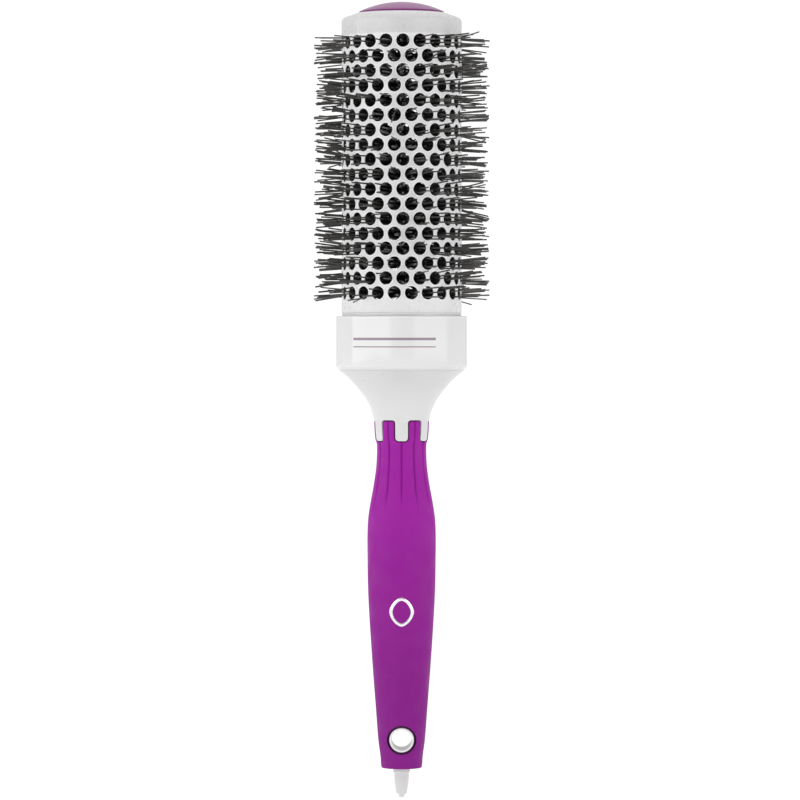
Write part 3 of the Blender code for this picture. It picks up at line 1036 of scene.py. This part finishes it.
def make_inlay(material):
    """A plain lozenge outline of polished metal, let into the grip's front."""
    skin = Skin()
    power = 2 * INLAY_POWER
    rings = []
    for share, rise in INLAY_PROFILE:
        ring = []
        for angle in spaced(0, math.tau, INLAY_SIDES):
            across, up = math.cos(angle), math.sin(angle)
            scale = (abs(across) ** power + abs(up) ** power) ** (-1 / power)
            x = (INLAY_HALF_WIDTH - INLAY_LINE * share) * across * scale
            z = INLAY_Z + (INLAY_HALF_HEIGHT - INLAY_LINE * share) * up * scale
            surface = curve_radius(GRIP_OUTLINE, z)
            ring.append((x, -(math.sqrt(surface**2 - x**2) + rise), z))
        rings.append(skin.ring(ring))
    skin.loop(rings)
    add_piece(skin.mesh("grip_inlay"), "stem_wire", [material])


# Materials


def new_material(name):
    """A material with its node tree and its shader."""
    material = bpy.data.materials.new(name)
    material.use_nodes = True
    tree = material.node_tree
    return material, tree, tree.nodes["Principled BSDF"]


def plug(socket, value):
    """Sets an input to a value, or links it to another node's output."""
    if isinstance(value, bpy.types.NodeSocket):
        socket.id_data.links.new(value, socket)
    else:
        socket.default_value = value


def fill(node, **values):
    """Each value goes to the input of that name, or else to the node's own property."""
    for name, value in values.items():
        label = name.replace("_", " ").title()
        if label in node.inputs:
            plug(node.inputs[label], value)
        else:
            setattr(node, name, value)
    return node


def add_node(tree, kind, **values):
    return fill(tree.nodes.new(kind), **values)


def join(tree, operation, *values):
    """A Math node on sockets or numbers."""
    node = add_node(tree, "ShaderNodeMath", operation=operation)
    for socket, value in zip(node.inputs, values):
        plug(socket, value)
    return node.outputs["Value"]


def coordinates(tree, kind="Object"):
    return tree.nodes.new("ShaderNodeTexCoord").outputs[kind]


def cloud_noise(tree, scale, detail=3.0, stretch=(1, 1, 1)):
    """Noise over the object in metres. Its factor socket is returned."""
    place = add_node(tree, "ShaderNodeMapping", vector=coordinates(tree), scale=stretch)
    texture = add_node(
        tree, "ShaderNodeTexNoise", vector=place.outputs["Vector"], scale=scale, detail=detail,
    )
    return texture.outputs["Fac"]


def ramp(tree, factor, stops):
    """A colour ramp on a factor. Each stop is (position, colour)."""
    node = add_node(tree, "ShaderNodeValToRGB", fac=factor)
    while len(node.color_ramp.elements) < len(stops):
        node.color_ramp.elements.new(0.5)
    for element, (position, colour) in zip(node.color_ramp.elements, stops):
        element.position = position
        element.color = (*colour, 1.0)
    return node.outputs["Color"]


def ramp_value(tree, value, low, high, start, end, curve="SMOOTHSTEP"):
    """Maps a value that runs from low to high to one that runs from start to end."""
    node = add_node(
        tree, "ShaderNodeMapRange", interpolation_type=curve, value=value,
        from_min=low, from_max=high, to_min=start, to_max=end,
    )
    return node.outputs["Result"]


def spread(tree, factor, low, high):
    """Maps the middle of a noise to a range of values."""
    return ramp_value(tree, factor, *NOISE_RANGE, low, high, curve="LINEAR")


def bump(tree, height, distance, strength=1.0, **below):
    """A bump of this height, on top of another one if normal is given."""
    node = add_node(tree, "ShaderNodeBump", height=height, distance=distance, strength=strength, **below)
    return node.outputs["Normal"]


def tinted(colour, factor):
    return tuple(min(1.0, channel * factor) for channel in colour)


def noise_stops(colour, swing):
    """Ramp stops that turn a noise into this colour, a little darker and lighter."""
    return tuple(zip(NOISE_RANGE, (tinted(colour, 1 - swing), tinted(colour, 1 + swing))))


def uneven(tree, factor, roughness, swing):
    """Roughness that follows a noise, between two shares of its value."""
    low, high = swing
    return spread(tree, factor, roughness * low, roughness * high)


def moulded(name, colour, roughness, grain, cloud=90, depth=0.000004, specular=0.5, painted_light=None):
    """A moulded or coated surface: faint clouds of colour, uneven gloss, and a fine grain. grain is
    how many grains go to a metre and depth how deep they are. The last argument gives (height, shade)
    steps of painted light and shade that the colour passes through up the brush."""
    material, tree, shader = new_material(name)
    surface = ramp(tree, cloud_noise(tree, cloud, 4.0), noise_stops(colour, CLOUD_SWING))
    if painted_light:
        surface = painted_light_by_height(tree, surface, painted_light)
    smears = cloud_noise(tree, cloud * SMEARS_PER_CLOUD, 5.0)
    fine = bump(tree, cloud_noise(tree, grain, 2.0), depth)
    waves = cloud_noise(tree, grain / GRAINS_PER_WAVE, 2.0)
    waved = bump(tree, waves, depth * WAVE_DEPTH, WAVE_STRENGTH, normal=fine)
    plug(shader.inputs["Specular IOR Level"], specular)
    fill(shader, base_color=surface, roughness=uneven(tree, smears, roughness, SMEAR_GLOSS), normal=waved)
    return material


def painted_light_by_height(tree, colour, painted_light):
    """Multiplies a colour by (height, shade) steps up the brush: painted light and shade."""
    place = add_node(tree, "ShaderNodeSeparateXYZ", vector=coordinates(tree))
    height = join(tree, "DIVIDE", place.outputs["Z"], DOME_TOP)
    stops = [(level / DOME_TOP, (shade, shade, shade)) for level, shade in painted_light]
    return multiplied(tree, colour, ramp(tree, height, stops))


def multiplied(tree, first, second):
    mix = add_node(
        tree, "ShaderNodeMix", data_type="RGBA", blend_type="MULTIPLY", factor=1.0, a=first, b=second,
    )
    return mix.outputs["Result"]


def ceramic():
    """White ceramic coating: a fine eggshell surface with sparse grey mineral flecks."""
    material = moulded(
        "ceramic_coating", CERAMIC_WHITE, 0.30, 5200, cloud=160, depth=0.000007, painted_light=BARREL_PAINTED_LIGHT,
    )
    tree = material.node_tree
    colour = tree.nodes["Principled BSDF"].inputs["Base Color"]
    clouds = colour.links[0].from_socket
    flecks = add_node(tree, "ShaderNodeTexVoronoi", vector=coordinates(tree), scale=FLECKS_PER_METRE)
    shades = ramp(tree, flecks.outputs["Distance"], ((0.05, FLECK_SHADE), (0.16, (1.0, 1.0, 1.0))))
    plug(colour, multiplied(tree, clouds, shades))
    return material


def nylon(name, dark, pale, roughness):
    """Nylon filament: each one a slightly different black, with faint streaks along it."""
    material, tree, shader = new_material(name)
    each = add_node(tree, "ShaderNodeAttribute", attribute_name="shade")
    streaks = cloud_noise(tree, NYLON_STREAKS)
    shade = join(tree, "MULTIPLY_ADD", streaks, NYLON_STREAK_SHARE, each.outputs["Fac"])
    grain = cloud_noise(tree, NYLON_GRAIN, 2.0)
    fill(
        shader, base_color=ramp(tree, shade, ((0.15, dark), (1.0, pale))),
        roughness=uneven(tree, streaks, roughness, LINE_GLOSS), normal=bump(tree, grain, NYLON_DEPTH),
    )
    return material


def drawn_metal(name, colour, roughness, stretch, contrast=0.15):
    """Metal with fine lines, drawn out along the axes whose stretch is smallest."""
    material, tree, shader = new_material(name)
    lines = cloud_noise(tree, METAL_LINES, 4.0, stretch)
    fill(
        shader, metallic=1.0, base_color=ramp(tree, lines, noise_stops(colour, contrast)),
        roughness=uneven(tree, lines, roughness, LINE_GLOSS), normal=bump(tree, lines, METAL_DEPTH),
    )
    return material


# Stage


def world_light():
    """A studio of white walls: two tall soft boxes beside the camera, a bright back and a dimmer
    front. The camera itself sees plain white."""
    world = bpy.data.worlds.new("studio")
    bpy.context.scene.world = world
    world.use_nodes = True
    tree = world.node_tree
    direction = add_node(tree, "ShaderNodeSeparateXYZ", vector=coordinates(tree, "Generated"))
    to_right, to_back, upward = direction.outputs
    azimuth = join(tree, "ARCTAN2", to_right, join(tree, "MULTIPLY", to_back, -1.0))
    level = window(tree, upward, *BOX_LEVEL, BOX_LEVEL_EDGE)
    walls = ramp_value(tree, to_back, *WALLS)
    light = join(tree, "MULTIPLY", walls, ramp_value(tree, upward, *CEILING))
    for start, end, power in SOFT_BOXES:
        beside = window(tree, azimuth, math.radians(start), math.radians(end), BOX_SIDE_EDGE)
        box = join(tree, "MULTIPLY", beside, level)
        light = join(tree, "MULTIPLY_ADD", box, power, light)
    seen = tree.nodes.new("ShaderNodeLightPath").outputs["Is Camera Ray"]
    strength = add_node(tree, "ShaderNodeMix", data_type="FLOAT", factor=seen, a=light, b=BACKGROUND)
    fill(tree.nodes["Background"], color=(1, 1, 1, 1), strength=strength.outputs["Result"])


def window(tree, value, low, high, soft):
    """1 between two values and 0 outside them, with soft edges."""
    rise = ramp_value(tree, value, low - soft, low + soft, 0, 1)
    fall = ramp_value(tree, value, high - soft, high + soft, 1, 0)
    return join(tree, "MULTIPLY", rise, fall)


def make_floor():
    """A white floor that glows a little, so that the brush casts only a faint shadow on it."""
    mesh = bpy.data.meshes.new("floor")
    sides = ((-1, -1), (1, -1), (1, 1), (-1, 1))
    mesh.from_pydata([(x * FLOOR_HALF, y * FLOOR_HALF, 0) for x, y in sides], [], [(0, 1, 2, 3)])
    material, _, shader = new_material("white_sweep")
    plug(shader.inputs["Specular IOR Level"], 0.0)
    fill(shader, base_color=(FLOOR_GREY, FLOOR_GREY, FLOOR_GREY, 1), roughness=0.9)
    fill(shader, emission_color=(1, 1, 1, 1), emission_strength=FLOOR_GLOW)
    mesh.materials.append(material)
    new_object("floor", mesh)


def make_camera():
    data = bpy.data.cameras.new("camera")
    data.lens = CAMERA_LENS
    camera = new_object("camera", data)
    camera.location = CAMERA_PLACE
    aim = Vector(CAMERA_TARGET) - Vector(CAMERA_PLACE)
    camera.rotation_euler = aim.to_track_quat("-Z", "Y").to_euler()
    bpy.context.scene.camera = camera


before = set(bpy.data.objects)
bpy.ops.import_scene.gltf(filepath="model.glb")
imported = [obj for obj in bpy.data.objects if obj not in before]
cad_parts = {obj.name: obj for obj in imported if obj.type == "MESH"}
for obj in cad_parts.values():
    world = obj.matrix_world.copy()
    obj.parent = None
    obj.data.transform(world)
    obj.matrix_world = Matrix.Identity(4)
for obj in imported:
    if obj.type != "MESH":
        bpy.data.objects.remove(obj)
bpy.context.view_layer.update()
bpy.context.scene.view_settings.view_transform = "Standard"

coating = ceramic()
# Painted shade: the inside of the barrel and the walls of its holes are painted near black, for the shade
# within.
painted_shade_inside = moulded("painted_shade_bore", (0.012, 0.012, 0.012), 0.6, 2500)
bare_metal = drawn_metal("bare_aluminium", (0.78, 0.78, 0.785), 0.70, (0.02, 0.02, 1), contrast=0.03)
# Painted highlight: the rounded lips of the holes are painted lighter than the coating round them.
painted_highlight_hole_lip = moulded("painted_highlight_hole_lip", (0.92, 0.92, 0.92), 0.25, 5200)
cap_white = moulded("cap_plastic", (0.86, 0.86, 0.86), 0.28, 3200, depth=0.000002, painted_light=CAP_PAINTED_LIGHT)
collar_white = moulded(
    "collar_plastic", (0.80, 0.80, 0.80), 0.05, 1800, depth=0.0000006, painted_light=COLLAR_PAINTED_LIGHT,
)
neck_white = moulded("neck_plastic", (0.685, 0.685, 0.685), 0.33, 3200, painted_light=NECK_PAINTED_SHADE)
liner_white = moulded("liner_plastic", (0.76, 0.74, 0.76), 0.30, 3200)
tip_grey = moulded("tip_plastic", (0.655, 0.655, 0.65), 0.35, 3200)
dome_purple = moulded("dome_plastic", DOME_PURPLE, 0.22, 2600, painted_light=DOME_PAINTED_SHADE)
# Rubber painted nearly black: painted shade down the joint's seam and inside the hanging hole's mouth.
painted_shade_rubber = moulded("painted_shade_rubber", (0.07, 0.003, 0.07), 0.7, 6500)
rubber = moulded(
    "soft_touch_rubber", PURPLE, 0.60, 6500, cloud=60, depth=0.000012, specular=0.19, painted_light=GRIP_PAINTED_SHADE,
)
filament_side = nylon("nylon_filament", (0.016, 0.0155, 0.015), (0.085, 0.080, 0.076), 0.42)
filament_end = nylon("nylon_cut_end", (0.05, 0.05, 0.05), (0.13, 0.13, 0.125), 0.6)
wire = drawn_metal("drawn_wire", (0.55, 0.55, 0.55), 0.30, (1, 1, 0.05))
polished = drawn_metal("polished_metal", (0.86, 0.84, 0.87), 0.12, (0.05, 1, 1))
ink = moulded("mauve_ink", (0.30, 0.23, 0.29), 0.35, 4000)

make_barrel([coating, painted_shade_inside, bare_metal, painted_highlight_hole_lip])
make_bristles([filament_side, filament_end])
make_stem(wire)
make_end_cap(cap_white)
make_dome(dome_purple)
make_collar(collar_white)
make_stripes(ink)
make_core(neck_white)
make_grip([rubber, painted_shade_rubber])
make_liner(liner_white)
make_tail(tip_grey)
make_inlay(polished)

make_floor()
make_camera()
world_light()
